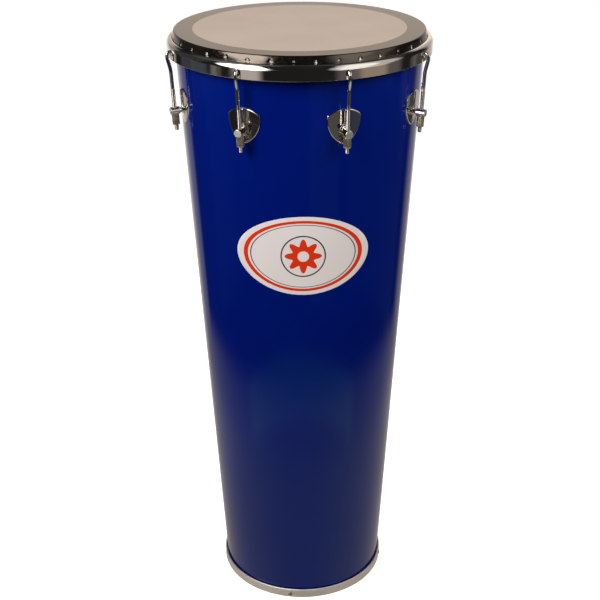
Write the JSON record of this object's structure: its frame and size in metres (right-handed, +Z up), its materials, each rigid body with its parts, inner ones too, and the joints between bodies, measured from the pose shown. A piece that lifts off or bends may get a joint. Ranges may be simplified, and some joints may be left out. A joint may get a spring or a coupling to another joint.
{
  "type": "hand drum",
  "caption": "Tall tapered hand drum with a wooden shell open at the foot, a thin plastic head, a pressed metal counterhoop and hook-shaped tension rods with nuts.",
  "frame": {"origin": "centre of the bottom hoop's lower face, on the floor", "axes": "+Z up along the drum's axis, -Y towards the front with the badge, +X to the right seen from there"},
  "size_m": [0.3766, 0.3766, 0.9],
  "materials": {
    "shell_wood": "plywood, clear inside, black round the bearing edge",
    "laminate": "deep blue high-gloss laminate",
    "hoop_band": "satin",
    "tack_brass": "dull",
    "badge": "printed sticker",
    "film": "glossy drumhead film",
    "patch": "satin light ply",
    "channel": "mill finish",
    "resin": "cast resin",
    "chrome_hoop": "polished chrome",
    "zinc_steel": "zinc plated",
    "chrome_plate": "polished chrome",
    "chrome_post": "polished chrome",
    "chrome_rod": "chrome, rolled thread",
    "nut_brass": "tarnished nickel-plated brass"
  },
  "bodies": {
    "shell": {"shell_wood": "shell_wood", "shell_laminate": "laminate", "bottom_hoop": "hoop_band", "bottom_hoop_tacks": "tack_brass", "badge": "badge", "head_film": "film", "head_patch": "patch", "flesh_hoop": "channel", "head_resin": "resin", "lug_screws": "zinc_steel", "lug_washers": "zinc_steel", "lug_plate_1": "chrome_plate", "lug_plate_2": "chrome_plate", "lug_plate_3": "chrome_plate", "lug_plate_4": "chrome_plate", "lug_plate_5": "chrome_plate", "lug_plate_6": "chrome_plate", "lug_plate_7": "chrome_plate", "lug_plate_8": "chrome_plate", "lug_post_1": "chrome_post", "lug_post_2": "chrome_post", "lug_post_3": "chrome_post", "lug_post_4": "chrome_post", "lug_post_5": "chrome_post", "lug_post_6": "chrome_post", "lug_post_7": "chrome_post", "lug_post_8": "chrome_post"},
    "counterhoop": {"counterhoop": "chrome_hoop"},
    "hook_rod_1": {"hook_rod_1": "chrome_rod"},
    "nut_1": {"nut_1": "nut_brass"},
    "hook_rod_2": {"hook_rod_2": "chrome_rod"},
    "nut_2": {"nut_2": "nut_brass"},
    "hook_rod_3": {"hook_rod_3": "chrome_rod"},
    "nut_3": {"nut_3": "nut_brass"},
    "hook_rod_4": {"hook_rod_4": "chrome_rod"},
    "nut_4": {"nut_4": "nut_brass"},
    "hook_rod_5": {"hook_rod_5": "chrome_rod"},
    "nut_5": {"nut_5": "nut_brass"},
    "hook_rod_6": {"hook_rod_6": "chrome_rod"},
    "nut_6": {"nut_6": "nut_brass"},
    "hook_rod_7": {"hook_rod_7": "chrome_rod"},
    "nut_7": {"nut_7": "nut_brass"},
    "hook_rod_8": {"hook_rod_8": "chrome_rod"},
    "nut_8": {"nut_8": "nut_brass"}
  },
  "joints": [
    {"name": "hoop_lift", "type": "slide", "parent": "shell", "child": "counterhoop", "axis": [0, 0, 1], "range_m": [0, 0.008]},
    {"name": "hook_rod_1_slide", "type": "slide", "parent": "shell", "child": "hook_rod_1", "axis": [-0.053, -0.0189, 0.9984], "range_m": [0, 0.0081]},
    {"name": "nut_1_spin", "type": "hinge", "parent": "shell", "child": "nut_1", "pos_m": [-0.17501, -0.06232, 0.79674], "axis": [-0.053, -0.0189, 0.9984], "range_deg": [-2890, 0]},
    {"name": "hook_rod_2_slide", "type": "slide", "parent": "shell", "child": "hook_rod_2", "axis": [-0.0241, -0.0508, 0.9984], "range_m": [0, 0.0081]},
    {"name": "nut_2_spin", "type": "hinge", "parent": "shell", "child": "nut_2", "pos_m": [-0.07969, -0.16782, 0.79674], "axis": [-0.0241, -0.0508, 0.9984], "range_deg": [-2890, 0]},
    {"name": "hook_rod_3_slide", "type": "slide", "parent": "shell", "child": "hook_rod_3", "axis": [0.0189, -0.053, 0.9984], "range_m": [0, 0.0081]},
    {"name": "nut_3_spin", "type": "hinge", "parent": "shell", "child": "nut_3", "pos_m": [0.06232, -0.17501, 0.79674], "axis": [0.0189, -0.053, 0.9984], "range_deg": [-2890, 0]},
    {"name": "hook_rod_4_slide", "type": "slide", "parent": "shell", "child": "hook_rod_4", "axis": [0.0508, -0.0241, 0.9984], "range_m": [0, 0.0081]},
    {"name": "nut_4_spin", "type": "hinge", "parent": "shell", "child": "nut_4", "pos_m": [0.16782, -0.07969, 0.79674], "axis": [0.0508, -0.0241, 0.9984], "range_deg": [-2890, 0]},
    {"name": "hook_rod_5_slide", "type": "slide", "parent": "shell", "child": "hook_rod_5", "axis": [0.053, 0.0189, 0.9984], "range_m": [0, 0.0081]},
    {"name": "nut_5_spin", "type": "hinge", "parent": "shell", "child": "nut_5", "pos_m": [0.17501, 0.06232, 0.79674], "axis": [0.053, 0.0189, 0.9984], "range_deg": [-2890, 0]},
    {"name": "hook_rod_6_slide", "type": "slide", "parent": "shell", "child": "hook_rod_6", "axis": [0.0241, 0.0508, 0.9984], "range_m": [0, 0.0081]},
    {"name": "nut_6_spin", "type": "hinge", "parent": "shell", "child": "nut_6", "pos_m": [0.07969, 0.16782, 0.79674], "axis": [0.0241, 0.0508, 0.9984], "range_deg": [-2890, 0]},
    {"name": "hook_rod_7_slide", "type": "slide", "parent": "shell", "child": "hook_rod_7", "axis": [-0.0189, 0.053, 0.9984], "range_m": [0, 0.0081]},
    {"name": "nut_7_spin", "type": "hinge", "parent": "shell", "child": "nut_7", "pos_m": [-0.06232, 0.17501, 0.79674], "axis": [-0.0189, 0.053, 0.9984], "range_deg": [-2890, 0]},
    {"name": "hook_rod_8_slide", "type": "slide", "parent": "shell", "child": "hook_rod_8", "axis": [-0.0508, 0.0241, 0.9984], "range_m": [0, 0.0081]},
    {"name": "nut_8_spin", "type": "hinge", "parent": "shell", "child": "nut_8", "pos_m": [-0.16782, 0.07969, 0.79674], "axis": [-0.0508, 0.0241, 0.9984], "range_deg": [-2890, 0]}
  ],
  "couplings": [
    {"joint": "hook_rod_1_slide", "follows": "hoop_lift", "ratio": 1.0016},
    {"joint": "nut_1_spin", "follows": "hoop_lift", "rad_per_m": -6293.1},
    {"joint": "hook_rod_2_slide", "follows": "hoop_lift", "ratio": 1.0016},
    {"joint": "nut_2_spin", "follows": "hoop_lift", "rad_per_m": -6293.1},
    {"joint": "hook_rod_3_slide", "follows": "hoop_lift", "ratio": 1.0016},
    {"joint": "nut_3_spin", "follows": "hoop_lift", "rad_per_m": -6293.1},
    {"joint": "hook_rod_4_slide", "follows": "hoop_lift", "ratio": 1.0016},
    {"joint": "nut_4_spin", "follows": "hoop_lift", "rad_per_m": -6293.1},
    {"joint": "hook_rod_5_slide", "follows": "hoop_lift", "ratio": 1.0016},
    {"joint": "nut_5_spin", "follows": "hoop_lift", "rad_per_m": -6293.1},
    {"joint": "hook_rod_6_slide", "follows": "hoop_lift", "ratio": 1.0016},
    {"joint": "nut_6_spin", "follows": "hoop_lift", "rad_per_m": -6293.1},
    {"joint": "hook_rod_7_slide", "follows": "hoop_lift", "ratio": 1.0016},
    {"joint": "nut_7_spin", "follows": "hoop_lift", "rad_per_m": -6293.1},
    {"joint": "hook_rod_8_slide", "follows": "hoop_lift", "ratio": 1.0016},
    {"joint": "nut_8_spin", "follows": "hoop_lift", "rad_per_m": -6293.1}
  ]
}
